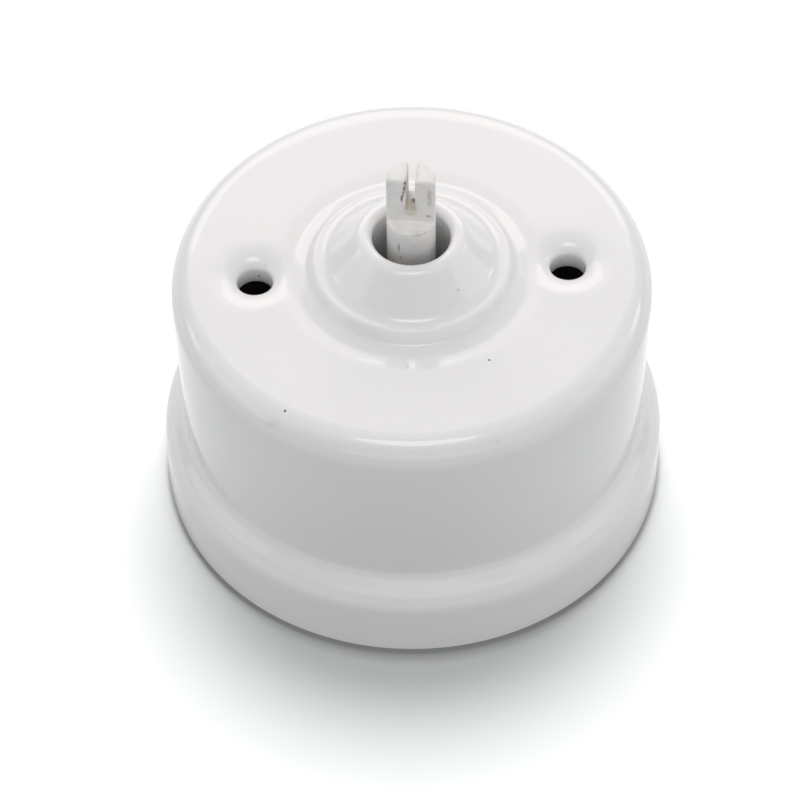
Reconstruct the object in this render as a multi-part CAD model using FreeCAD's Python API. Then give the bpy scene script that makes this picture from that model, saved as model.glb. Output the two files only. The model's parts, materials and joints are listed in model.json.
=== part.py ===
import FreeCAD
import Part
import math
import os

# Rotary switch under a one-piece porcelain cover, in millimetres.
# The origin is the centre of the back, which lies on the wall, and +Z runs along the spindle.
# The two cover screws stand on the X axis, the posts of the bearing bridge on the Y axis.

# Clearances
cover_gap = 0.3  # cover round the base, and over the pillars
shaft_gap = 0.06  # radial, shaft in a bearing
press_gap = 0.03  # radial, inlaid and pressed pieces
screw_gap = 0.2  # radial, screw shank in a clear hole
thread_gap = 0.05  # radial, screw shank in its tapped hole
axial_gap = 0.1  # between stacked pieces that turn against each other
contact_gap = 0.12  # contact finger off the drum
spring_gap = 0.1  # detent spring off the cam and its post

# Cover, outside
foot_radius = 32.0
foot_edge = 0.6
foot_shoulder_height = 9.3
foot_shoulder_fillet = 4.6
drum_low_radius = 29.4
drum_low_height = 11.9
drum_low_fillet = 2.2
drum_top_radius = 29.9
drum_top_height = 36.2
drum_top_fillet = 3.25

# Cover, the turned boss on its top
moat_radius = 16.6
moat_edge_fillet = 3.0
moat_floor_radius = 14.6
moat_depth = 0.25
moat_floor_width = 0.6
skirt_radius = 13.5
skirt_rise = 0.95
skirt_fillet = 1.0
ring_radius = 12.1
ring_rise = 1.35
ring_step = 0.4
boss_foot_radius = 10.7
boss_foot_rise = 1.75
boss_foot_fillet = 2.6
lip_radius = 6.5
lip_rise = 6.25
lip_outer_fillet = 1.7
lip_inner_fillet = 0.95
bore_radius = 4.8
bore_length = 4.9
bore_edge = 0.5

# Cover, inside
drum_wall = 4.4
top_wall = 3.8
ceiling_chamfer = 2.0
boss_room_radius = 6.5

# Cover screws
cover_screw_pitch = 38.8
cover_hole_radius = 2.2
mouth_curve = 1.9
mouth_low_sweep = 10.0
mouth_rim_sweep = 80.0
mouth_cut_sweep = 86.0

# Base
base_height = 6.0
base_rim = 2.2
hub_radius = 5.5
hub_rise = 2.0
journal_depth = 5.4
pillar_radius = 3.8
pillar_bore = 2.6
pillar_hole_floor = 10.0
insert_radius = 2.9
insert_low = 14.0
insert_length = 8.0
insert_bore = 2.0
post_offset = 13.4
post_ledge = 0.6
wall_screw_pitch = 44.0
wall_hole_radius = 2.1
wall_head_radius = 3.7
cable_hole_radius = 4.5
cable_hole_offset = 18.5
cable_hole_angle = 315.0

# Spindle
spindle_radius = 3.0
spindle_top = 52.2
prong_edge = 0.45
flat_offset = 0.7
flat_low = 45.3
slot_width = 1.1
slot_floor = 47.0
flat_turn = -8.7
journal_radius = 2.0
drive_width = 4.2
drive_gap = 0.05
collar_radius = 4.4
collar_height = 0.7

# Rotor, cam and washer
washer_radius = 5.0
washer_height = 0.5
rotor_radius = 8.5
rotor_height = 9.0
sleeve_wall = 0.8
sleeve_low = 1.2
sleeve_height = 2.4
lobe_height = 4.0
lobe_angle = 50.0
cam_width = 8.0
cam_height = 4.4
cam_corner_radius = 4.9

# Detent spring
spring_thickness = 0.6
spring_height = 3.4
spring_low = 0.4
spring_leg_end = 8.3

# Bearing bridge
bridge_thickness = 1.5
bridge_end_radius = 5.2
bridge_middle_radius = 7.5
bush_spigot_radius = 4.0
bush_collar_radius = 5.2
bush_collar_height = 1.5
bush_neck_radius = 4.3
bush_height = 4.5
bridge_insert_radius = 2.3
bridge_insert_length = 8.0
bridge_screw_radius = 1.5
bridge_screw_length = 6.0

# Terminals
terminal_offset = 18.5
terminal_angles = {"common": 225.0, "a": 45.0, "b": 135.0}
terminal_depth = 8.0
terminal_width = 7.0
terminal_height = 9.0
terminal_edge = 0.6
wire_hole_radius = 1.7
wire_hole_height = 4.7
clamp_screw_radius = 1.75
clamp_screw_reach = 1.0
clamp_head_lift = 0.7
fixing_screw_radius = 1.5
fixing_screw_reach = 2.6
fixing_recess = 2.4
fixing_sink = 0.6
screw_head_radius = 2.7
screw_head_height = 1.8
screw_slot_width = 0.8
screw_slot_depth = 0.9

# Contact fingers
finger_thickness = 0.5
finger_width = 4.0
finger_knee = 11.8
finger_flare = 1.0
finger_tip_rise = 2.2

# Heights and radii that follow from the sizes above
cavity_radius = drum_low_radius - drum_wall
base_radius = cavity_radius + base_rim
rebate_radius = base_radius + cover_gap
ceiling = drum_top_height - top_wall
boss_room_top = drum_top_height + lip_rise - bore_length
pillar_top = ceiling - cover_gap
hub_top = base_height + hub_rise
washer_top = hub_top + washer_height
rotor_low = washer_top + axial_gap
rotor_top = rotor_low + rotor_height
cam_top = rotor_top + cam_height
collar_top = cam_top + collar_height
bridge_low = collar_top + axial_gap
bridge_top = bridge_low + bridge_thickness
spring_bottom = rotor_top + spring_low
spring_inner = cam_width / 2 + spring_gap
spring_outer = spring_inner + spring_thickness
post_radius = spring_inner - spring_gap
post_seat_radius = post_radius + post_ledge
post_seat_top = spring_bottom - axial_gap
block_low = base_height + finger_thickness
block_top = block_low + terminal_height
wire_height = block_low + wire_hole_height

Z = FreeCAD.Vector(0, 0, 1)
ORIGIN = FreeCAD.Vector(0, 0, 0)


def rounded_face(corners, place):
    """A face from corners (u, v, fillet); place turns u, v into a point in space."""
    ends = []
    count = len(corners)
    for i in range(count):
        u, v, fillet = corners[i]
        before = corners[i - 1]
        after = corners[(i + 1) % count]
        into = FreeCAD.Vector(before[0] - u, before[1] - v, 0).normalize()
        out = FreeCAD.Vector(after[0] - u, after[1] - v, 0).normalize()
        corner = FreeCAD.Vector(u, v, 0)
        if fillet == 0:
            ends.append((corner, None, corner))
            continue
        half = into.getAngle(out) / 2
        reach = fillet / math.tan(half)
        middle = (into + out).normalize() * (fillet / math.sin(half) - fillet)
        ends.append((corner + into * reach, corner + middle, corner + out * reach))
    edges = []
    for i in range(count):
        start, middle, stop = ends[i]
        follow = ends[(i + 1) % count][0]
        if middle is not None:
            arc = Part.Arc(place(start.x, start.y), place(middle.x, middle.y), place(stop.x, stop.y))
            edges.append(arc.toShape())
        if stop.distanceToPoint(follow) > 1e-6:
            edges.append(Part.LineSegment(place(stop.x, stop.y), place(follow.x, follow.y)).toShape())
    return Part.Face(Part.Wire(edges))


def upright(radius, height):
    return FreeCAD.Vector(radius, 0, height)


def flat_at(height):
    return lambda x, y: FreeCAD.Vector(x, y, height)


def turned(corners):
    """A solid turned about the Z axis from corners (radius, height, fillet)."""
    return rounded_face(corners, upright).revolve(ORIGIN, Z, 360)


def cylinder(radius, low, high, x=0.0, y=0.0):
    return Part.makeCylinder(radius, high - low, FreeCAD.Vector(x, y, low))


def tube(outer, inner, low, high, x=0.0, y=0.0):
    return cylinder(outer, low, high, x, y).cut(cylinder(inner, low, high, x, y))


def square_bar(width, low, high):
    return Part.makeBox(width, width, high - low, FreeCAD.Vector(-width / 2, -width / 2, low))


def spin(shape, angle):
    copy = shape.copy()
    copy.rotate(ORIGIN, Z, angle)
    return copy


def moved(shape, x, y):
    copy = shape.copy()
    copy.translate(FreeCAD.Vector(x, y, 0))
    return copy


def at_terminal(shape, name):
    """A piece drawn on the X axis, turned to its terminal's place."""
    return spin(shape, terminal_angles[name])


def cover_screw_places():
    return [(side * cover_screw_pitch / 2, 0) for side in (-1, 1)]


def post_places():
    return [(0, side * post_offset) for side in (-1, 1)]


def screw(shank_radius, tip, head_low, head_high):
    """A slotted cheese-head screw on the Z axis, its head above its tip."""
    body = cylinder(shank_radius, tip, head_low).fuse(cylinder(screw_head_radius, head_low, head_high))
    slot_corner = FreeCAD.Vector(-screw_head_radius, -screw_slot_width / 2, head_high - screw_slot_depth)
    slot = Part.makeBox(2 * screw_head_radius, screw_slot_width, screw_slot_depth, slot_corner)
    return body.cut(slot)


def cover_screw_hole():
    """A straight hole whose upper end opens like a bell."""
    def on_bell(sweep):
        angle = math.radians(sweep)
        low = math.radians(mouth_low_sweep)
        rim = math.radians(mouth_rim_sweep)
        radius = cover_hole_radius + mouth_curve * (math.cos(low) - math.cos(angle))
        return upright(radius, drum_top_height + mouth_curve * (math.sin(angle) - math.sin(rim)))

    foot = on_bell(mouth_low_sweep)
    middle = on_bell((mouth_low_sweep + mouth_cut_sweep) / 2)
    rim = on_bell(mouth_cut_sweep)
    floor = ceiling - ceiling_chamfer
    crown = drum_top_height + mouth_curve
    edges = [
        Part.LineSegment(upright(0, floor), upright(cover_hole_radius, floor)).toShape(),
        Part.LineSegment(upright(cover_hole_radius, floor), foot).toShape(),
        Part.Arc(foot, middle, rim).toShape(),
        Part.LineSegment(rim, upright(rim.x, crown)).toShape(),
        Part.LineSegment(upright(rim.x, crown), upright(0, crown)).toShape(),
        Part.LineSegment(upright(0, crown), upright(0, floor)).toShape(),
    ]
    return Part.Face(Part.Wire(edges)).revolve(ORIGIN, Z, 360)


def cover():
    top = drum_top_height
    lip = top + lip_rise
    body = turned([
        (rebate_radius, 0, 0),
        (foot_radius - foot_edge, 0, 0),
        (foot_radius, foot_edge, 0),
        (foot_radius, foot_shoulder_height, foot_shoulder_fillet),
        (drum_low_radius, drum_low_height, drum_low_fillet),
        (drum_top_radius, top, drum_top_fillet),
        (moat_radius, top, moat_edge_fillet),
        (moat_floor_radius + moat_floor_width / 2, top - moat_depth, 0),
        (moat_floor_radius - moat_floor_width / 2, top - moat_depth, 0),
        (skirt_radius, top + skirt_rise, skirt_fillet),
        (ring_radius + ring_step / 2, top + ring_rise, 0),
        (ring_radius, top + ring_rise + ring_step, 0),
        (boss_foot_radius, top + boss_foot_rise, boss_foot_fillet),
        (lip_radius, lip, lip_outer_fillet),
        (bore_radius, lip, lip_inner_fillet),
        (bore_radius, boss_room_top + bore_edge, 0),
        (bore_radius + bore_edge, boss_room_top, 0),
        (boss_room_radius, boss_room_top, 0),
        (boss_room_radius, ceiling, 0),
        (cavity_radius - ceiling_chamfer, ceiling, 0),
        (cavity_radius, ceiling - ceiling_chamfer, 0),
        (cavity_radius, base_height, 0),
        (rebate_radius, base_height, 0),
    ])
    for x, y in cover_screw_places():
        body = body.cut(moved(cover_screw_hole(), x, y))
    return body


def base():
    body = cylinder(base_radius, 0, base_height).fuse(cylinder(hub_radius, base_height, hub_top))
    pillar = cylinder(pillar_radius, base_height, pillar_top)
    post = cylinder(post_seat_radius, base_height, post_seat_top)
    post = post.fuse(cylinder(post_radius, post_seat_top, bridge_low))
    for x, y in cover_screw_places():
        body = body.fuse(moved(pillar, x, y))
    for x, y in post_places():
        body = body.fuse(moved(post, x, y))
    body = body.cut(cylinder(journal_radius + shaft_gap, hub_top - journal_depth, hub_top))
    for x, y in cover_screw_places():
        body = body.cut(cylinder(pillar_bore, pillar_hole_floor, pillar_top, x, y))
        body = body.cut(cylinder(insert_radius, insert_low, insert_low + insert_length, x, y))
    for x, y in post_places():
        body = body.cut(cylinder(bridge_insert_radius, bridge_low - bridge_insert_length, bridge_low, x, y))
    sink = wall_head_radius - wall_hole_radius
    head = Part.makeCone(wall_hole_radius, wall_head_radius, sink, FreeCAD.Vector(0, 0, base_height - sink))
    wall_hole = cylinder(wall_hole_radius, 0, base_height).fuse(head)
    for side in (-1, 1):
        body = body.cut(moved(wall_hole, 0, side * wall_screw_pitch / 2))
    cable_hole = cylinder(cable_hole_radius, 0, base_height, cable_hole_offset)
    body = body.cut(spin(cable_hole, cable_hole_angle))
    fixing = cylinder(fixing_screw_radius + screw_gap, 0, base_height, terminal_offset)
    fixing = fixing.fuse(cylinder(screw_head_radius + screw_gap, 0, fixing_recess, terminal_offset))
    for name in terminal_angles:
        body = body.cut(at_terminal(fixing, name))
    return body


def cover_screw_inserts():
    high = insert_low + insert_length
    return [tube(insert_radius - press_gap, insert_bore, insert_low, high, x, y) for x, y in cover_screw_places()]


def bridge_inserts():
    bore = bridge_screw_radius + thread_gap
    low = bridge_low - bridge_insert_length
    return [tube(bridge_insert_radius - press_gap, bore, low, bridge_low, x, y) for x, y in post_places()]


def bearing_bridge():
    plate = cylinder(bridge_middle_radius, bridge_low, bridge_top)
    corner = FreeCAD.Vector(-bridge_end_radius, -post_offset, bridge_low)
    plate = plate.fuse(Part.makeBox(2 * bridge_end_radius, 2 * post_offset, bridge_thickness, corner))
    for x, y in post_places():
        plate = plate.fuse(cylinder(bridge_end_radius, bridge_low, bridge_top, x, y))
    plate = plate.removeSplitter().cut(cylinder(bush_spigot_radius, bridge_low, bridge_top))
    for x, y in post_places():
        plate = plate.cut(cylinder(bridge_screw_radius + screw_gap, bridge_low, bridge_top, x, y))
    return plate


def bridge_screws():
    tip = bridge_low - bridge_screw_length
    one = screw(bridge_screw_radius, tip, bridge_top, bridge_top + screw_head_height)
    return [moved(one, x, y) for x, y in post_places()]


def spindle_bush():
    spigot = cylinder(bush_spigot_radius - press_gap, bridge_low, bridge_top)
    collar = cylinder(bush_collar_radius, bridge_top, bridge_top + bush_collar_height)
    neck = cylinder(bush_neck_radius, bridge_top + bush_collar_height, bridge_top + bush_height)
    bore = cylinder(spindle_radius + shaft_gap, bridge_low, bridge_top + bush_height)
    return spigot.fuse(collar).fuse(neck).cut(bore)


def thrust_washer():
    return tube(washer_radius, journal_radius + screw_gap, hub_top, washer_top)


def spindle():
    """Journal, square drive, collar and a round shaft that ends in a split D."""
    shaft = turned([
        (0, cam_top, 0),
        (collar_radius, cam_top, 0),
        (collar_radius, collar_top, 0),
        (spindle_radius, collar_top, 0),
        (spindle_radius, spindle_top, 0),
        (0, spindle_top, 0),
    ])
    reach = 2 * spindle_radius
    flat_corner = FreeCAD.Vector(-spindle_radius, -flat_offset - reach, flat_low)
    flat = Part.makeBox(reach, reach, spindle_top, flat_corner)
    slot_corner = FreeCAD.Vector(-slot_width / 2, -reach, slot_floor)
    slot = Part.makeBox(slot_width, 2 * reach, spindle_top, slot_corner)
    shaft = shaft.cut(spin(flat, flat_turn)).cut(spin(slot, flat_turn))
    ends = [edge for edge in shaft.Edges if edge.BoundBox.ZMin > spindle_top - prong_edge]
    shaft = shaft.makeFillet(prong_edge, ends)
    journal = cylinder(journal_radius, hub_top - journal_depth + axial_gap, rotor_low)
    return shaft.fuse(square_bar(drive_width, rotor_low, cam_top)).fuse(journal)


def drive_hole(low, high):
    return square_bar(drive_width + 2 * drive_gap, low, high)


def sleeve_shape(inner):
    """A ring low on the drum, with two opposite lobes above it."""
    ring_low = rotor_low + sleeve_low
    ring_high = ring_low + sleeve_height
    lobe_high = ring_high + lobe_height
    outer = FreeCAD.Vector(inner, 0, ring_low)
    edge = FreeCAD.Vector(rotor_radius, 0, ring_low)
    wall = Part.LineSegment(outer, edge).toShape()
    ring = wall.revolve(ORIGIN, Z, 360).extrude(Z * sleeve_height)
    lobe = wall.revolve(ORIGIN, Z, lobe_angle).extrude(Z * (lobe_high - ring_low))
    shape = ring
    for side in (0.0, 180.0):
        shape = shape.fuse(spin(lobe, terminal_angles["a"] - lobe_angle / 2 + side))
    return shape.removeSplitter()


def rotor():
    body = cylinder(rotor_radius, rotor_low, rotor_top)
    return body.cut(sleeve_shape(rotor_radius - sleeve_wall - press_gap)).cut(drive_hole(rotor_low, rotor_top))


def contact_sleeve():
    return sleeve_shape(rotor_radius - sleeve_wall)


def index_cam():
    body = square_bar(cam_width, rotor_top, cam_top)
    body = body.common(cylinder(cam_corner_radius, rotor_top, cam_top))
    return body.cut(drive_hole(rotor_top, cam_top))


def detent_spring():
    """A strip bent round the rear post, its two legs along the cam."""
    height = flat_at(spring_bottom)

    def hairpin(radius):
        bend = Part.Arc(height(radius, post_offset), height(0, post_offset + radius), height(-radius, post_offset))
        right = Part.LineSegment(height(radius, -spring_leg_end), height(radius, post_offset))
        left = Part.LineSegment(height(-radius, post_offset), height(-radius, -spring_leg_end))
        close = Part.LineSegment(height(-radius, -spring_leg_end), height(radius, -spring_leg_end))
        return Part.Face(Part.Wire([edge.toShape() for edge in (right, bend, left, close)]))

    strip = hairpin(spring_outer).cut(hairpin(spring_inner))
    return strip.extrude(Z * spring_height)


def contact_finger(name):
    """A strip under its terminal, bent up and bowed onto the drum."""
    ring_middle = rotor_low + sleeve_low + sleeve_height / 2
    lobe_middle = rotor_low + sleeve_low + sleeve_height + lobe_height / 2
    touch = {"common": ring_middle, "a": lobe_middle, "b": lobe_middle}[name]
    contact = rotor_radius + contact_gap
    tail = terminal_offset + terminal_depth / 2
    thick = finger_thickness
    strip = [
        (tail, base_height, 0),
        (tail, base_height + thick, 0),
        (finger_knee + thick, base_height + thick, thick),
        (contact + thick, touch, thick),
        (contact + finger_flare + thick, touch + finger_tip_rise, 0),
        (contact + finger_flare, touch + finger_tip_rise, 0),
        (contact, touch, thick),
        (finger_knee, base_height, thick),
    ]
    side = rounded_face(strip, lambda r, z: FreeCAD.Vector(r, -finger_width / 2, z))
    finger = side.extrude(FreeCAD.Vector(0, finger_width, 0))
    hole = cylinder(fixing_screw_radius + screw_gap / 2, base_height, block_low, terminal_offset)
    return at_terminal(finger.cut(hole), name)


def terminal(name):
    """A block with a cross hole for the wire and a clamp screw from above."""
    half_depth = terminal_depth / 2
    half_width = terminal_width / 2
    outline = [
        (terminal_offset + u * half_depth, v * half_width, terminal_edge)
        for u, v in ((-1, -1), (1, -1), (1, 1), (-1, 1))
    ]
    block = rounded_face(outline, flat_at(block_low)).extrude(Z * terminal_height)
    wire_start = FreeCAD.Vector(terminal_offset, -half_width, wire_height)
    wire = Part.makeCylinder(wire_hole_radius, terminal_width, wire_start, FreeCAD.Vector(0, 1, 0))
    clamp = cylinder(clamp_screw_radius + thread_gap, wire_height, block_top, terminal_offset)
    fixing_high = block_low + fixing_screw_reach + axial_gap
    fixing = cylinder(fixing_screw_radius + thread_gap, block_low, fixing_high, terminal_offset)
    return at_terminal(block.cut(wire).cut(clamp).cut(fixing), name)


def terminal_screws():
    head_low = block_top + clamp_head_lift
    one = screw(clamp_screw_radius, wire_height + clamp_screw_reach, head_low, head_low + screw_head_height)
    return [at_terminal(moved(one, terminal_offset, 0), name) for name in terminal_angles]


def terminal_fixing_screws():
    """Screws from the back, drawn head up and turned over."""
    head = fixing_recess - fixing_sink
    one = screw(fixing_screw_radius, -block_low - fixing_screw_reach, -fixing_recess, head - fixing_recess)
    one.rotate(ORIGIN, FreeCAD.Vector(1, 0, 0), 180)
    return [at_terminal(moved(one, terminal_offset, 0), name) for name in terminal_angles]


def write(node, shape):
    if isinstance(shape, list):
        shape = Part.makeCompound(shape)
    shape.exportStep("parts/" + node + ".step")


os.makedirs("parts", exist_ok=True)
write("cover", cover())
write("base", base())
write("cover_screw_inserts", cover_screw_inserts())
write("bridge_inserts", bridge_inserts())
write("bearing_bridge", bearing_bridge())
write("bridge_screws", bridge_screws())
write("spindle_bush", spindle_bush())
write("thrust_washer", thrust_washer())
write("spindle", spindle())
write("rotor", rotor())
write("contact_sleeve", contact_sleeve())
write("index_cam", index_cam())
write("detent_spring", detent_spring())
for name in terminal_angles:
    write("contact_finger_" + name, contact_finger(name))
    write("terminal_" + name, terminal(name))
write("terminal_screws", terminal_screws())
write("terminal_fixing_screws", terminal_fixing_screws())
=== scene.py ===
import bmesh
import bpy
import json
import math
from mathutils import Matrix, Vector


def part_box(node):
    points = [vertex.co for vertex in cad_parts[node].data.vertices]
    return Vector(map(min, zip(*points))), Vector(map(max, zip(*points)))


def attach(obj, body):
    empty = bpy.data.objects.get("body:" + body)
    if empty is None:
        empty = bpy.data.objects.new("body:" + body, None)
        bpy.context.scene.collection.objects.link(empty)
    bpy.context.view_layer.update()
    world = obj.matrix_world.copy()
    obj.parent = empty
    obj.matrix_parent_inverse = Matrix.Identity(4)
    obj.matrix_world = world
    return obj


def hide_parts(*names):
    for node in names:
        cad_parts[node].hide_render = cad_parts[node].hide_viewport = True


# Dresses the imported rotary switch: a smooth glazed porcelain cover, a worn split spindle,
# finished metal and moulded pieces inside, studio light and the photograph's camera.
# Lengths below are in millimetres and angles in degrees; MM turns them into Blender's metres.
MM = 0.001
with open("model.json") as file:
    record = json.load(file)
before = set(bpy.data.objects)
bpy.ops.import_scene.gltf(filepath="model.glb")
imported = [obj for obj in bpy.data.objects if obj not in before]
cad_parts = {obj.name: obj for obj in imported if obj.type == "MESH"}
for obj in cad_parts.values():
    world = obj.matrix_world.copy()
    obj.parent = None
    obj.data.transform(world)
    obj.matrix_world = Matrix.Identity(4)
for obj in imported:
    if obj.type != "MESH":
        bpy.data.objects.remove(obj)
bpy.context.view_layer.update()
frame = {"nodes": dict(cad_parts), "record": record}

# Cover, outside
foot_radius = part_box("cover")[1][0] / MM
foot_edge = 0.4
foot_shoulder = (9.3, 4.6)  # height of the corner, fillet
drum_low = (29.4, 11.9, 2.2)  # radius, height, fillet
drum_top = (29.9, 36.2, 3.25)
top = drum_top[1]

# Cover, the turned boss: radius, rise above the flat top, fillet
moat_edge = (16.6, 0.0, 11.0)
moat_floor = (14.7, -0.16, 2.2)
ring_foot = (12.9, 0.42, 0.8)
ring_crest = (12.1, 1.8, 0.5)
boss_foot = (10.65, 1.72, 2.1)
lip_outer = (6.5, 6.25, 1.6)
lip_inner = (4.8, 6.25, 0.9)
bore_end = (4.8, -2.6, 0.5)

# Cover, inside
boss_room_radius = 6.5
boss_room_edge = 0.5
ceiling = (25.0, 32.4, 2.0)  # radius, height, fillet
rebate = (27.5, 6.0)  # radius, height
rebate_edge = 0.2
inner_edge = 0.3

# Cover screw holes
screw_offset = 19.4
hole_radius = 2.2
mouth_reach = 2.2
mouth_depth = 1.3
mouth_dip = 0.3
mouth_fade = 3.8
level_rim = 0.4  # the top is level this far round a hole
level_fade = 0.6
hole_land = 0.9  # straight wall right below the mouth
hole_low_edge = 0.35
low_edge_angles = (30.0, 60.0, 90.0)

# Mesh density
angle_steps = 240
hole_steps = (0, angle_steps // 2)  # the steps that point at the two holes
arc_step = 7.0
least_arc_steps = 3
line_step = 1.6
mouth_rings = 12
patch_rings = 8
top_patch = (13.4, 25.4, 13)  # inner and outer radius, steps to each side of the X axis
top_heights = (top - 1.0, top + 2.0)
ceiling_patch = (16.2, 22.6, 6)
ceiling_heights = (ceiling[1] - 0.1, ceiling[1] + 0.1)
patch_places = ((top_patch, top_heights), (ceiling_patch, ceiling_heights))
same_radius = 1e-4
rounding = 1e-9

# Edges of the pieces that come from the solids
weld_distance = 0.002
soft_edge = 0.12
soft_edge_angle = 35.0
soft_edge_segments = 2

# Spindle, rubbed by the knob
rub_grain = 0.12
rub_strength = 0.5
rub_passes = 5

# Camera, fitted to the outline of the cover
image_side = 800
focal_pixels = 3590.0
sensor_width = 36.0
near_limit = 0.01
eye = Vector((-15.67, -297.36, 365.02)) * MM
aim = Vector((-1.642, 0.077, 10.78)) * MM
camera_roll = -0.75

# Studio light: an even room light, and soft lamps as name, place, width and height in metres, watts
room_light = ((0.98, 1.0, 1.02), 0.37)
upper_lamp_colour = (1.0, 0.955, 0.937)
upper_lamps = [
    ("front top lamp", (0.0, -0.16, 0.57), (0.9, 0.32), 0.30),
    ("top lamp", (0.0, -0.12, 0.58), (0.28, 0.20), 0.44),
    ("back top lamp", (0.0, 0.40, 0.42), (0.7, 0.25), 0.42),
    ("back strip lamp", (0.0, 0.50, 0.33), (0.7, 0.25), 0.62),
    ("back wide lamp", (0.0, 0.60, 0.35), (0.9, 0.5), 0.60),
    ("left top lamp", (-0.45, 0.0, 0.40), (0.4, 0.4), 0.14),
    ("right top lamp", (0.45, 0.0, 0.40), (0.4, 0.4), 0.11),
]
lower_lamp_colour = (0.985, 1.0, 1.0)
lower_lamps = [
    ("front lamp", (0.0, -0.60, 0.25), (0.8, 0.3), 0.38),
    ("left lamp", (-0.50, 0.0, 0.20), (0.5, 0.35), 0.31),
    ("right lamp", (0.50, 0.0, 0.20), (0.5, 0.35), 0.37),
    ("left high lamp", (-0.50, 0.20, 0.21), (0.14, 0.12), 0.05),
    ("right high lamp", (0.50, 0.20, 0.21), (0.14, 0.12), 0.07),
    ("front right lamp", (0.45, -0.40, 0.20), (0.4, 0.3), 0.16),
]
table_lamp_colour = (1.0, 1.0, 1.0)
table_lamps = [
    ("table lamp", (0.037, 0.372, 0.928), (0.50, 0.50), 15.8),
    ("table top lamp", (0.0, 0.07, 1.0), (0.08, 0.08), 4.9),
]
lamp_aim = Vector((0.0, 0.0, 30.0)) * MM

# Table: half its side in metres, its height above the foot's plane, its two tones
floor_half_side = 3.0
floor_lift = 0.02
table_tones = [(0.0, (0.466, 0.47, 0.473)), (1.0, (0.476, 0.48, 0.483))]


def rounded_path(corners):
    """Points (radius, height) round a closed outline of corners (radius, height, fillet)."""
    points = []
    count = len(corners)
    for i in range(count):
        here = Vector(corners[i][:2])
        fillet = corners[i][2]
        into = (Vector(corners[i - 1][:2]) - here).normalized()
        out = (Vector(corners[(i + 1) % count][:2]) - here).normalized()
        if fillet == 0:
            points.append(here)
            continue
        half = into.angle(out) / 2
        centre = here + (into + out).normalized() * fillet / math.sin(half)
        first = here + into * fillet / math.tan(half) - centre
        last = here + out * fillet / math.tan(half) - centre
        sweep = first.angle_signed(last)
        steps = max(least_arc_steps, math.ceil(abs(math.degrees(sweep)) / arc_step))
        for k in range(steps + 1):
            points.append(centre + Matrix.Rotation(-sweep * k / steps, 2) @ first)
    return points


def divided(points):
    """The closed outline with its long straight runs cut into steps."""
    result = []
    for i, start in enumerate(points):
        stop = points[(i + 1) % len(points)]
        steps = max(1, math.ceil((stop - start).length / line_step))
        result += [start.lerp(stop, k / steps) for k in range(steps)]
    return result


def with_radius(points, radius, height_range):
    """The outline with a point added where it passes a radius between two heights."""
    low, high = height_range
    for i, start in enumerate(points):
        stop = points[(i + 1) % len(points)]
        crosses = min(start.x, stop.x) < radius < max(start.x, stop.x)
        if crosses and low < start.y < high:
            share = (radius - start.x) / (stop.x - start.x)
            return points[:i + 1] + [start.lerp(stop, share)] + points[i + 1:]
    return points


def cover_outline():
    """Points round the cover's half section, with one at each edge of the hole patches."""
    boss = [moat_edge, moat_floor, ring_foot, ring_crest, boss_foot, lip_outer, lip_inner, bore_end]
    corners = [
        (rebate[0], 0.0, inner_edge),
        (foot_radius, 0.0, foot_edge),
        (foot_radius, *foot_shoulder),
        drum_low,
        drum_top,
    ]
    corners += [(radius, top + rise, fillet) for radius, rise, fillet in boss]
    corners += [
        (boss_room_radius, top + bore_end[1], inner_edge),
        (boss_room_radius, ceiling[1], boss_room_edge),
        ceiling,
        (ceiling[0], rebate[1], inner_edge),
        (rebate[0], rebate[1], rebate_edge),
    ]
    points = divided(rounded_path(corners))
    for (inner, outer, _), heights in patch_places:
        points = with_radius(points, inner, heights)
        points = with_radius(points, outer, heights)
    return points


def index_of(points, radius, height_range):
    """Number of the outline's point at a radius between two heights."""
    low, high = height_range
    return next(
        i for i, point in enumerate(points)
        if abs(point.x - radius) < same_radius and low < point.y < high
    )


def height_at(points, first, last, radius):
    """Height of the outline between two of its points, at a radius."""
    for start, stop in zip(points[first:last], points[first + 1:last + 1]):
        if min(start.x, stop.x) - rounding <= radius <= max(start.x, stop.x) + rounding:
            span = stop.x - start.x
            share = 0.0 if abs(span) < rounding else (radius - start.x) / span
            return start.y + (stop.y - start.y) * share
    nearest = min(points[first], points[last], key=lambda end: abs(radius - end.x))
    return nearest.y


def smooth(share):
    """An even step from 0 to 1."""
    share = min(1.0, max(0.0, share))
    return share * share * (3 - 2 * share)


def turned_grid(mesh, points):
    """Rows of mesh points, one row round the axis for each point of the outline."""
    grid = []
    for point in points:
        row = []
        for k in range(angle_steps):
            angle = 2 * math.pi * k / angle_steps
            place = (point.x * math.cos(angle), point.x * math.sin(angle), point.y)
            row.append(mesh.verts.new(place))
        grid.append(row)
    return grid


def in_patch(patches, i, k):
    """Whether the grid's face at row i and step k lies where a screw hole is."""
    for first, last, half in patches:
        for middle in hole_steps:
            offset = (k - middle + half) % angle_steps
            if first <= i < last and offset < 2 * half:
                return True
    return False


def fill_grid(mesh, grid, patches):
    """Faces of the turned grid, left open round the screw holes."""
    for i, row in enumerate(grid):
        following = grid[(i + 1) % len(grid)]
        for k in range(angle_steps):
            if in_patch(patches, i, k):
                continue
            after = (k + 1) % angle_steps
            mesh.faces.new((row[k], row[after], following[after], following[k]))


def border(grid, patch, middle):
    """Grid points round a patch, once round."""
    first, last, half = patch
    low, high = middle - half, middle + half
    loop = [(first, k) for k in range(low, high)]
    loop += [(i, high) for i in range(first, last)]
    loop += [(last, k) for k in range(high, low, -1)]
    loop += [(i, low) for i in range(last, first, -1)]
    return [grid[i][k % angle_steps] for i, k in loop]


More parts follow.
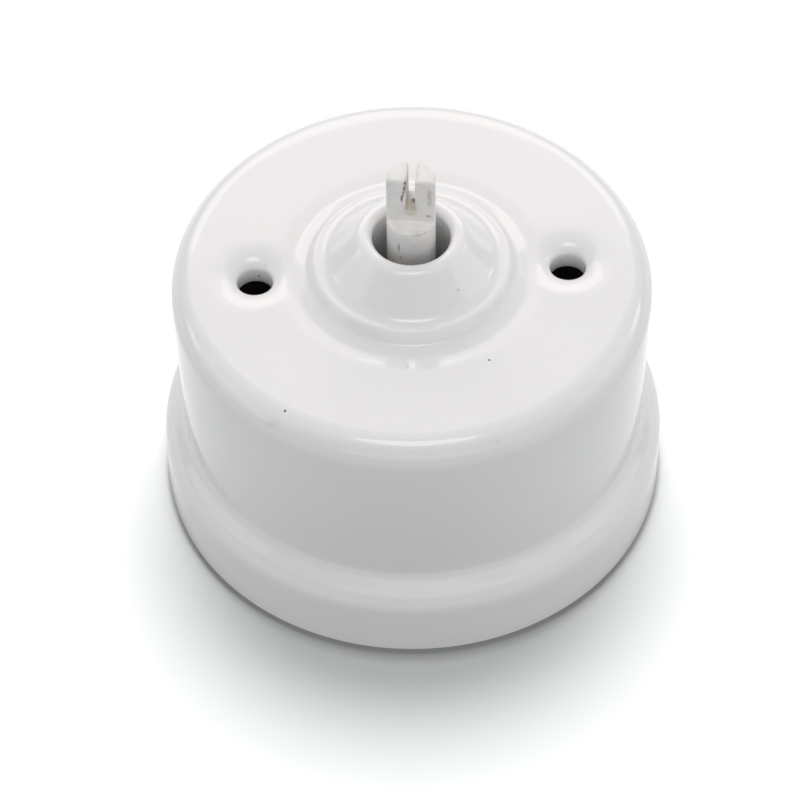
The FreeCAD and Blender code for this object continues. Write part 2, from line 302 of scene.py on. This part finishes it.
def next_ring(mesh, ring, centre, aims, distances, height_of):
    """A ring of mesh points round a hole, one along each aim, joined to the ring before it."""
    new = []
    for towards, distance in zip(aims, distances):
        spot = centre + towards.normalized() * distance
        new.append(mesh.verts.new((spot.x, spot.y, height_of(spot, distance))))
    for j in range(len(new)):
        after = (j + 1) % len(new)
        mesh.faces.new((ring[j], ring[after], new[after], new[j]))
    return new


def screw_hole(mesh, centre, upper, lower, flat_height):
    """Bell mouth, wall and low edge of a hole, between its borders in top and ceiling."""
    aims = [vert.co.xy - centre for vert in upper]
    reach = hole_radius + mouth_reach
    ring = upper
    for k in range(1, patch_rings + 1):
        share = k / patch_rings
        distances = [towards.length + (reach - towards.length) * share for towards in aims]
        ring = next_ring(mesh, ring, centre, aims, distances, flat_height)
    for k in range(1, mouth_rings + 1):
        sweep = math.radians(90.0 * (1 - k / mouth_rings))
        distances = [hole_radius + mouth_reach * (1 - math.cos(sweep))] * len(aims)
        drop = mouth_depth * (1 - math.sin(sweep))
        ring = next_ring(mesh, ring, centre, aims, distances,
                         lambda spot, distance: flat_height(spot, distance) - drop)
    low = ceiling[1]
    steps = [(0.0, top - mouth_dip - mouth_depth - hole_land), (0.0, low + hole_low_edge)]
    for angle in low_edge_angles:
        wider = hole_low_edge * (1 - math.cos(math.radians(angle)))
        steps.append((wider, low + hole_low_edge * (1 - math.sin(math.radians(angle)))))
    for wider, height in steps:
        distances = [hole_radius + wider] * len(aims)
        ring = next_ring(mesh, ring, centre, aims, distances, lambda spot, distance: height)
    close_ring(mesh, ring, lower, aims, [vert.co.xy - centre for vert in lower])


def cover_mesh():
    """A grid turned round the axis, with a ring grid round each screw hole, as one closed mesh."""
    points = cover_outline()
    patches = []
    for (inner, outer, half), heights in patch_places:
        ends = sorted((index_of(points, inner, heights), index_of(points, outer, heights)))
        patches.append((*ends, half))
    on_top, on_ceiling = patches

    def flat_height(spot, distance):
        """Height of the top near a hole: level at its rim, the turned outline further out."""
        turned = height_at(points, on_top[0], on_top[1], math.hypot(spot.x, spot.y))
        share = smooth((distance - hole_radius - level_rim) / (mouth_reach + level_fade))
        dip = mouth_dip * (1 - smooth((distance - hole_radius) / mouth_fade))
        return top + (turned - top) * share - dip

    mesh = bmesh.new()
    grid = turned_grid(mesh, points)
    fill_grid(mesh, grid, patches)
    for side, middle in zip((1, -1), hole_steps):
        centre = Vector((side * screw_offset, 0.0))
        upper = border(grid, on_top, middle)
        lower = border(grid, on_ceiling, middle)
        screw_hole(mesh, centre, upper, lower, flat_height)
    bmesh.ops.recalc_face_normals(mesh, faces=mesh.faces)
    for vert in mesh.verts:
        vert.co *= MM
    return mesh


def by_angle(verts, aims):
    """Mesh points of a ring with their angles, in order, and the first once more after a turn."""
    order = sorted((math.atan2(aim_at.y, aim_at.x), i) for i, aim_at in enumerate(aims))
    ring = [(angle, verts[i]) for angle, i in order]
    return ring + [(ring[0][0] + 2 * math.pi, ring[0][1])]


def close_ring(mesh, ring, loop, ring_aims, loop_aims):
    """Faces between two rings round one hole that have different counts, walked by angle."""
    first = by_angle(ring, ring_aims)
    second = by_angle(loop, loop_aims)
    i = j = 0
    while i < len(ring) or j < len(loop):
        here, there = first[i][1], second[j][1]
        if j >= len(loop) or (i < len(ring) and first[i + 1][0] <= second[j + 1][0]):
            i += 1
            mesh.faces.new((here, there, first[i][1]))
        else:
            j += 1
            mesh.faces.new((here, there, second[j][1]))


def new_piece(name, mesh, material, body):
    """A smooth piece of the dressed part that rides a body."""
    data = bpy.data.meshes.new(name)
    mesh.to_mesh(data)
    mesh.free()
    data.polygons.foreach_set("use_smooth", [True] * len(data.polygons))
    data.materials.append(material)
    piece = bpy.data.objects.new(name, data)
    bpy.context.scene.collection.objects.link(piece)
    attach(piece, body)
    return piece


class Nodes:
    """A Principled material and short calls to add nodes to it."""

    def __init__(self, name):
        self.material = bpy.data.materials.new(name)
        self.material.use_nodes = True
        self.tree = self.material.node_tree
        self.shader = self.tree.nodes["Principled BSDF"]
        self.place = self.add("ShaderNodeTexCoord").outputs["Object"]

    def add(self, kind, **values):
        node = self.tree.nodes.new(kind)
        for key, value in values.items():
            setattr(node, key, value)
        return node

    def link(self, source, target):
        self.tree.links.new(source, target)

    def set(self, **values):
        for key, value in values.items():
            self.shader.inputs[key.replace("_", " ")].default_value = value

    def noise(self, scale, detail=3.0, roughness=0.5):
        node = self.add("ShaderNodeTexNoise")
        node.inputs["Scale"].default_value = scale
        node.inputs["Detail"].default_value = detail
        node.inputs["Roughness"].default_value = roughness
        self.link(self.place, node.inputs["Vector"])
        return node.outputs["Fac"]

    def ramp(self, source, stops):
        node = self.add("ShaderNodeValToRGB")
        elements = node.color_ramp.elements
        while len(elements) < len(stops):
            elements.new(1.0)
        for element, (position, colour) in zip(elements, stops):
            element.position = position
            element.color = (*colour, 1.0)
        self.link(source, node.inputs["Fac"])
        return node.outputs["Color"]

    def remap(self, source, low, high, to_low, to_high):
        """A soft step from one range of values to another."""
        node = self.add("ShaderNodeMapRange", interpolation_type="SMOOTHSTEP")
        limits = {"From Min": low, "From Max": high, "To Min": to_low, "To Max": to_high}
        for key, value in limits.items():
            node.inputs[key].default_value = value
        self.link(source, node.inputs["Value"])
        return node.outputs["Result"]

    def calc(self, operation, first, second):
        node = self.add("ShaderNodeMath", operation=operation)
        for socket, value in zip(node.inputs, (first, second)):
            if isinstance(value, (int, float)):
                socket.default_value = value
            else:
                self.link(value, socket)
        return node.outputs[0]

    def mix(self, factor, first, second):
        node = self.add("ShaderNodeMix", data_type="RGBA")
        self.link(factor, node.inputs["Factor"])
        for socket, value in ((node.inputs[6], first), (node.inputs[7], second)):
            if isinstance(value, tuple):
                socket.default_value = (*value, 1.0)
            else:
                self.link(value, socket)
        return node.outputs[2]

    def spot(self, centre, radii, soft):
        """1 inside an ellipsoid, 0 outside it."""
        away = self.add("ShaderNodeVectorMath", operation="SUBTRACT")
        self.link(self.place, away.inputs[0])
        away.inputs[1].default_value = centre
        share = self.add("ShaderNodeVectorMath", operation="DIVIDE")
        self.link(away.outputs["Vector"], share.inputs[0])
        share.inputs[1].default_value = radii
        length = self.add("ShaderNodeVectorMath", operation="LENGTH")
        self.link(share.outputs["Vector"], length.inputs[0])
        return self.remap(length.outputs["Value"], 1 - soft, 1 + soft, 1.0, 0.0)

    def bump(self, height, strength, distance, after=None):
        node = self.add("ShaderNodeBump")
        node.inputs["Strength"].default_value = strength
        node.inputs["Distance"].default_value = distance
        self.link(height, node.inputs["Height"])
        if after is not None:
            self.link(after, node.inputs["Normal"])
        return node.outputs["Normal"]


# Camera axes, also used to place what is measured in the photograph
camera_back = (eye - aim).normalized()
level = Vector((0, 0, 1)).cross(camera_back).normalized()
upward = camera_back.cross(level)
roll_cos = math.cos(math.radians(camera_roll))
roll_sin = math.sin(math.radians(camera_roll))
camera_right = level * roll_cos + upward * roll_sin
camera_up = upward * roll_cos - level * roll_sin


def on_height(pixel, height):
    """The point at a height, in metres, that a pixel of the photograph shows."""
    half = image_side / 2
    ray = camera_right * (pixel[0] - half) / focal_pixels
    ray += camera_up * (half - pixel[1]) / focal_pixels
    ray -= camera_back
    return eye + ray * (height - eye.z) / ray.z


# Glaze specks: pixel, height, radius, shade
glaze_specks = [
    ((285, 411), top - 0.15, 0.17, 0.15),
    ((489, 360), top, 0.16, 0.22),
    ((408, 366), top, 0.13, 0.4),
    ((459, 290), top + 3.65, 0.2, 0.5),
    ((259, 275), top - 2.6, 0.22, 0.2),
]
drum_speck = ((23.22, -18.68, 21.55), 0.22, 0.45)
edge_stains = [
    ((266, 424), top - 1.0, (1.3, 0.8, 0.8)),
    ((557, 434), top - 0.6, (0.45, 0.35, 0.6)),
    ((498, 440), top - 0.6, (0.3, 0.3, 0.6)),
    ((530, 441), top - 0.8, (0.3, 0.3, 0.6)),
]
stain_colour = (0.80, 0.76, 0.66)

# Surface relief: slow waves of the glaze, fine grain of glaze and mouldings, brush marks of metal
glaze_wave = 0.4
fine_grain = 0.05
brush_grain = 0.03

# Spindle marks, painted shade and a painted highlight: along the flat from the slot's middle, height,
# radii, shade
flat_turn = -8.7
flat_offset = 0.7
torn_edge = (-0.62, 51.2, (0.2, 0.8, 1.3))
torn_colour = (0.12, 0.11, 0.1)
# A darker beige tone on the slot's floor
slot_floor_tint = (0.0, 47.6, (0.75, 3.2, 1.3))
slot_floor_tint_colour = (0.66, 0.62, 0.54)
# Painted shade: the shaft is painted darker down in the bore, where the boss shadows it
bore_shade_heights = (38.0, 46.0)  # the shaft is greyer towards the lower one
painted_bore_shade_colour = (0.54, 0.535, 0.525)
flat_marks_and_highlight = [
    (-0.62, 51.7, (0.15, 0.6, 0.7), 0.18),
    (-0.74, 50.8, (0.14, 0.4, 0.6), 0.14),
    (-0.88, 50.0, (0.1, 0.4, 0.5), 0.2),
    (-1.06, 49.2, (0.12, 0.4, 0.55), 0.14),
    (-0.17, 48.9, (0.4, 0.4, 0.2), 0.2),
    (0.62, 51.0, (0.06, 0.3, 0.25), 0.3),
    (2.3, 49.6, (0.25, 0.6, 1.4), 0.6),
    (2.2, 46.4, (0.3, 0.5, 0.25), 0.5),
    # Painted highlight: a lighter spot on the ledge below the flat
    (0.0, 45.8, (0.9, 0.5, 0.45), 0.9),
]
shaft_marks_and_shade = [
    ((-1.66, -2.5, 42.6), (0.14, 0.5, 0.7), 0.3),
    ((-1.43, -2.65, 41.0), (0.12, 0.5, 0.2), 0.3),
    # Painted shade: a darker arc along the ledge's lower edge
    ((0.9, -2.8, 45.15), (1.5, 0.6, 0.16), 0.62),
    ((0.38, 1.15, 47.0), (0.3, 0.35, 0.2), 0.15),
]


def porcelain():
    """White glaze with its specks and stains."""
    n = Nodes("glazed porcelain")
    n.set(Roughness=0.06, IOR=1.52, Subsurface_Weight=0.3, Subsurface_Scale=1.2 * MM)
    n.shader.inputs["Subsurface Radius"].default_value = (1.0, 0.95, 0.9)
    colour = n.ramp(n.noise(45.0, 2.0), [(0.3, (0.857, 0.853, 0.85)), (0.7, (0.87, 0.863, 0.86))])
    patchy = n.remap(n.noise(900.0), 0.35, 0.65, 0.2, 1.0)
    for pixel, height, radii in edge_stains:
        stain = n.spot(on_height(pixel, height * MM), Vector(radii) * MM, 0.7)
        colour = n.mix(n.calc("MULTIPLY", stain, patchy), colour, stain_colour)
    specks = [
        (on_height(pixel, height * MM), radius, shade)
        for pixel, height, radius, shade in glaze_specks
    ]
    specks.append((Vector(drum_speck[0]) * MM, *drum_speck[1:]))
    for place, radius, shade in specks:
        colour = n.mix(n.spot(place, (radius * MM,) * 3, 0.5), colour, (shade, shade, shade * 0.97))
    n.link(colour, n.shader.inputs["Base Color"])
    wave = n.bump(n.noise(60.0, 1.0), 0.25, glaze_wave * MM)
    peel = n.bump(n.noise(900.0, 1.0), 0.04, fine_grain * MM, wave)
    n.link(peel, n.shader.inputs["Normal"])
    return n.material


def on_flat(along, height):
    """A point of the spindle's flat, in metres."""
    turn = math.radians(flat_turn)
    x = flat_offset * math.sin(turn) + along * math.cos(turn)
    y = -flat_offset * math.cos(turn) + along * math.sin(turn)
    return Vector((x, y, height)) * MM


def white_moulding():
    """The spindle's pale moulding: painted shade down in the bore, a darker beige slot floor, a torn slot
    edge, smudges, and a painted highlight and painted shade at the ledge.
    """
    n = Nodes("white moulding")
    n.set(IOR=1.5, Subsurface_Weight=0.15, Subsurface_Scale=0.6 * MM)
    tones = [(0.35, (0.80, 0.785, 0.765)), (0.6, (0.86, 0.85, 0.83))]
    colour = n.ramp(n.noise(900.0, 5.0, 0.6), tones)
    # Painted shade: the shaft is painted darker towards the bottom, down in the bore
    split = n.add("ShaderNodeSeparateXYZ")
    n.link(n.place, split.inputs[0])
    low, high = bore_shade_heights
    painted_bore_shade = n.remap(split.outputs["Z"], low * MM, high * MM, 1.0, 0.0)
    colour = n.mix(painted_bore_shade, colour, painted_bore_shade_colour)
    # A darker beige tone on the slot's floor
    along, height, radii = slot_floor_tint
    slot_floor_tint_mask = n.spot(on_flat(along, height), Vector(radii) * MM, 0.4)
    colour = n.mix(slot_floor_tint_mask, colour, slot_floor_tint_colour)
    along, height, radii = torn_edge
    torn = n.spot(on_flat(along, height), Vector(radii) * MM, 0.4)
    torn = n.calc("MULTIPLY", torn, n.remap(n.noise(2200.0, 4.0, 0.6), 0.5, 0.58, 0.0, 1.0))
    colour = n.mix(torn, colour, torn_colour)
    # Marks on the flat and shaft, with a painted highlight and painted shade at the ledge among them
    marks_and_painted_light = [
        (on_flat(along, height), radii, shade)
        for along, height, radii, shade in flat_marks_and_highlight
    ]
    marks_and_painted_light += [(Vector(place) * MM, radii, shade) for place, radii, shade in shaft_marks_and_shade]
    for place, radii, shade in marks_and_painted_light:
        patchy = n.remap(n.noise(2600.0, 4.0, 0.6), 0.32, 0.55, 0.2, 1.0)
        mark_and_light_mask = n.calc("MULTIPLY", n.spot(place, Vector(radii) * MM, 0.5), patchy)
        colour = n.mix(mark_and_light_mask, colour, (shade, shade * 0.96, shade * 0.92))
    n.link(colour, n.shader.inputs["Base Color"])
    n.link(n.remap(n.noise(2500.0), 0.3, 0.7, 0.42, 0.6), n.shader.inputs["Roughness"])
    n.link(n.bump(n.noise(3500.0, 3.0), 0.15, fine_grain * MM), n.shader.inputs["Normal"])
    return n.material


def moulded(name, dark, light, rough):
    """A mottled plastic between two tones."""
    n = Nodes(name)
    colour = n.ramp(n.noise(700.0, 4.0), [(0.3, dark), (0.75, light)])
    n.link(colour, n.shader.inputs["Base Color"])
    roughness = n.remap(n.noise(1800.0), 0.3, 0.7, rough - 0.06, rough + 0.08)
    n.link(roughness, n.shader.inputs["Roughness"])
    n.link(n.bump(n.noise(2600.0), 0.08, fine_grain * MM), n.shader.inputs["Normal"])
    return n.material


def metal(name, dark, light, rough, brush):
    """A metal between two tones, with marks drawn out along one axis."""
    n = Nodes(name)
    n.set(Metallic=1.0)
    stretch = n.add("ShaderNodeMapping")
    stretch.inputs["Scale"].default_value = brush
    n.link(n.place, stretch.inputs["Vector"])
    n.place = stretch.outputs["Vector"]
    colour = n.ramp(n.noise(600.0, 5.0), [(0.3, dark), (0.7, light)])
    n.link(colour, n.shader.inputs["Base Color"])
    roughness = n.remap(n.noise(1500.0, 4.0), 0.3, 0.7, rough - 0.08, rough + 0.1)
    n.link(roughness, n.shader.inputs["Roughness"])
    n.link(n.bump(n.noise(2500.0, 3.0), 0.1, brush_grain * MM), n.shader.inputs["Normal"])
    return n.material


def rub(piece):
    """Wears all edges of a piece round."""
    grain = piece.modifiers.new("fine grain", "REMESH")
    grain.mode = "VOXEL"
    grain.voxel_size = rub_grain * MM
    grain.use_smooth_shade = True
    rubbed = piece.modifiers.new("rubbed edges", "SMOOTH")
    rubbed.factor = rub_strength
    rubbed.iterations = rub_passes


def soften(piece):
    """Gives the sharp edges of a piece a small round."""
    bevel = piece.modifiers.new("soft edges", "BEVEL")
    bevel.width = soft_edge * MM
    bevel.segments = soft_edge_segments
    bevel.limit_method = "ANGLE"
    bevel.angle_limit = math.radians(soft_edge_angle)
    bevel.use_clamp_overlap = True


def dress_nodes(materials):
    """Gives each CAD node its material and finishes its edges."""
    slots = {row["node"]: row["material_slot"] for row in frame["record"]["subparts"]}
    for node, piece in frame["nodes"].items():
        piece.data.materials.clear()
        piece.data.materials.append(materials[slots[node]])
        weld = piece.modifiers.new("join faces", "WELD")
        weld.merge_threshold = weld_distance * MM
        if node == "spindle":
            rub(piece)
        else:
            soften(piece)


def add_floor():
    """A plain pale table."""
    mesh = bmesh.new()
    bmesh.ops.create_grid(mesh, x_segments=1, y_segments=1, size=floor_half_side)
    data = bpy.data.meshes.new("floor")
    mesh.to_mesh(data)
    mesh.free()
    n = Nodes("pale table")
    n.set(Roughness=0.7, Specular_IOR_Level=0.1)
    n.link(n.ramp(n.noise(3.0, 2.0), table_tones), n.shader.inputs["Base Color"])
    data.materials.append(n.material)
    floor = bpy.data.objects.new("floor", data)
    bpy.context.scene.collection.objects.link(floor)
    floor.visible_diffuse = False
    floor.location.z = floor_lift * MM
    return floor


def add_lamps(lamps, colour, receivers):
    """Soft lamps that light only some of the objects."""
    lit = bpy.data.collections.new("lit by " + lamps[0][0])
    for thing in receivers:
        lit.objects.link(thing)
    for name, place, (width, height), watts in lamps:
        data = bpy.data.lights.new(name, "AREA")
        data.shape = "ELLIPSE"
        data.size = width
        data.size_y = height
        data.energy = watts
        data.color = colour
        lamp = bpy.data.objects.new(name, data)
        lamp.location = place
        lamp.rotation_euler = (lamp_aim - lamp.location).to_track_quat("-Z", "Y").to_euler()
        lamp.light_linking.receiver_collection = lit
        bpy.context.scene.collection.objects.link(lamp)


def add_room_light():
    """The same light from all sides."""
    world = bpy.data.worlds.new("room light")
    world.use_nodes = True
    back = world.node_tree.nodes["Background"]
    colour, strength = room_light
    back.inputs["Color"].default_value = (*colour, 1.0)
    back.inputs["Strength"].default_value = strength
    bpy.context.scene.world = world


def add_camera():
    """The photograph's camera."""
    data = bpy.data.cameras.new("camera")
    data.sensor_width = sensor_width
    data.lens = focal_pixels / image_side * sensor_width
    data.clip_start = near_limit
    camera = bpy.data.objects.new("camera", data)
    camera.matrix_world = Matrix((camera_right, camera_up, camera_back)).transposed().to_4x4()
    camera.matrix_world.translation = eye
    bpy.context.scene.collection.objects.link(camera)
    bpy.context.scene.camera = camera


bpy.context.scene.view_settings.view_transform = "Standard"
materials = {
    "glazed_porcelain": porcelain(),
    "white_moulding": white_moulding(),
    "dark_phenolic": moulded("dark phenolic", (0.012, 0.010, 0.009), (0.024, 0.018, 0.015), 0.35),
    "brown_phenolic": moulded("brown phenolic", (0.05, 0.024, 0.014), (0.085, 0.042, 0.024), 0.35),
    "cam_moulding": moulded("cam moulding", (0.50, 0.48, 0.42), (0.62, 0.60, 0.54), 0.45),
    "brass": metal("brass", (0.62, 0.42, 0.16), (0.78, 0.58, 0.27), 0.3, (1.0, 1.0, 4.0)),
    "spring_bronze": metal("spring bronze", (0.55, 0.33, 0.17), (0.70, 0.46, 0.26), 0.3, (6.0, 1.0, 1.0)),
    "zinc_steel": metal("zinc plated steel", (0.52, 0.53, 0.54), (0.66, 0.66, 0.65), 0.35, (1.0, 5.0, 1.0)),
    "screw_steel": metal("screw steel", (0.46, 0.46, 0.46), (0.60, 0.60, 0.58), 0.32, (1.0, 1.0, 5.0)),
    "spring_steel": metal("spring steel", (0.30, 0.31, 0.33), (0.44, 0.44, 0.45), 0.3, (1.0, 6.0, 1.0)),
}
dress_nodes(materials)
glazed_cover = new_piece(
    "glazed_cover", cover_mesh(), materials["glazed_porcelain"], "housing"
)
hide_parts("cover")

pieces = [thing for thing in bpy.context.scene.objects if thing.type == "MESH"]
add_lamps(upper_lamps, upper_lamp_colour, pieces)
add_lamps(lower_lamps, lower_lamp_colour, pieces)
add_lamps(table_lamps, table_lamp_colour, [add_floor()])
add_room_light()
add_camera()
